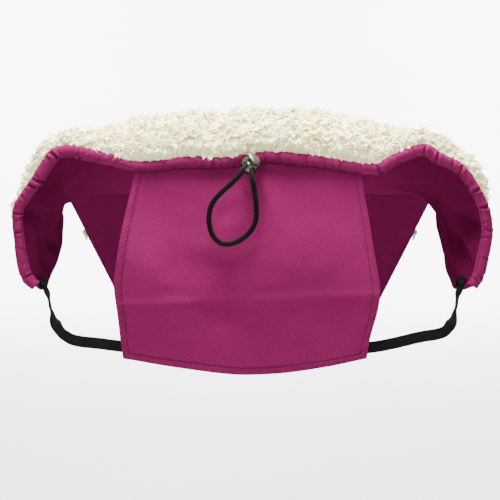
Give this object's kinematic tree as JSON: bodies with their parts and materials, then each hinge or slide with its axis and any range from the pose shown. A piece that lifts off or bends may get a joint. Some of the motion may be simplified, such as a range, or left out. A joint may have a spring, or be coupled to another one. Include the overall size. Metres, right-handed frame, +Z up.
{
  "type": "baby bunting bag",
  "caption": "Padded bunting bag for a pushchair: drawcord hood over the seat top, hanging back flap, elastic strap, slotted back panel and zipped front cover.",
  "frame": {"origin": "middle of the hood's rim, on the seam where the back flap hangs from the drawcord tunnel", "axes": "+X across the bag to the viewer's right, +Y from the head end towards the feet, +Z up; the bag lies on a slope of 20 degrees as on a reclined seat"},
  "size_m": [0.4816, 1.0256, 0.3464],
  "materials": {
    "canvas": "matte woven",
    "wadding": "matte",
    "sherpa": "long pile",
    "binding": "woven tape",
    "zip": "moulded teeth on woven tape",
    "metal": "black lacquer",
    "nickel": "antique nickel",
    "steel": "bright wire",
    "cord": "braided",
    "elastic": "ribbed elastic"
  },
  "bodies": {
    "bag": {"hood_shell": "canvas", "hood_padding": "wadding", "hood_lining": "sherpa", "back_shell": "canvas", "back_padding": "wadding", "back_lining": "sherpa", "cover_shell": "canvas", "cover_padding": "wadding", "cover_lining": "sherpa", "foot_shell": "canvas", "foot_padding": "wadding", "foot_lining": "sherpa", "rim_tunnel_left": "canvas", "rim_tunnel_right": "canvas", "drawcord_left": "cord", "drawcord_right": "cord", "slot_binding_shoulder_left": "binding", "slot_binding_shoulder_right": "binding", "slot_binding_waist_left": "binding", "slot_binding_waist_right": "binding", "slot_binding_crotch": "binding", "zip_back_left": "zip", "zip_back_right": "zip", "zip_cover_left": "zip", "zip_cover_right": "zip", "zip_stop_left": "zip", "zip_stop_right": "zip", "elastic_strap": "elastic", "strap_stitch_left": "elastic", "strap_stitch_right": "elastic", "tape_end_right": "elastic"},
    "flap": {"flap_panel": "canvas", "flap_hem": "canvas"},
    "cord_lock": {"cord_lock_housing": "nickel", "cord_lock_spring": "steel", "drawcord_loop": "cord"},
    "lock_button": {"cord_lock_button": "nickel"},
    "zip_slider_left_body": {"zip_slider_left": "metal"},
    "zip_slider_right_body": {"zip_slider_right": "metal"},
    "zip_pull_left_body": {"zip_pull_left": "metal"},
    "zip_pull_right_body": {"zip_pull_right": "metal"},
    "collar": {"collar_shell": "canvas", "collar_padding": "wadding", "collar_lining": "sherpa"}
  },
  "joints": [
    {"name": "flap_swing", "type": "hinge", "parent": "bag", "child": "flap", "pos_m": [0, 0, 0.01345], "axis": [-1, 0, 0], "range_deg": [0, 85]},
    {"name": "loop_swing", "type": "hinge", "parent": "bag", "child": "cord_lock", "pos_m": [0, 0, 0.01345], "axis": [-1, 0, 0], "range_deg": [0, 85], "deforming": ["drawcord_loop"]},
    {"name": "lock_press", "type": "slide", "parent": "cord_lock", "child": "lock_button", "axis": [-0.5243, 0.3952, -0.7543], "range_m": [0, 0.0023], "stiffness_N_per_m": 400, "springref_m": -0.004, "deforming": ["cord_lock_spring"]},
    {"name": "zip_slide_left", "type": "slide", "parent": "bag", "child": "zip_slider_left_body", "axis": [0.0365, 0.9391, -0.3418], "range_m": [0, 0.511]},
    {"name": "pull_swing_left", "type": "hinge", "parent": "zip_slider_left_body", "child": "zip_pull_left_body", "pos_m": [-0.21431, 0.45024, -0.09606], "axis": [0, 0.342, 0.9397], "range_deg": [0, 170]},
    {"name": "zip_slide_right", "type": "slide", "parent": "bag", "child": "zip_slider_right_body", "axis": [-0.0365, 0.9391, -0.3418], "range_m": [0, 0.511]},
    {"name": "pull_swing_right", "type": "hinge", "parent": "zip_slider_right_body", "child": "zip_pull_right_body", "pos_m": [0.21431, 0.45024, -0.09606], "axis": [0, -0.342, -0.9397], "range_deg": [0, 170]},
    {"name": "collar_fold", "type": "hinge", "parent": "bag", "child": "collar", "pos_m": [0, 0.46044, -0.01959], "axis": [1, 0, 0], "range_deg": [0, 170]}
  ],
  "couplings": [
    {"joint": "loop_swing", "follows": "flap_swing", "ratio": 1}
  ]
}
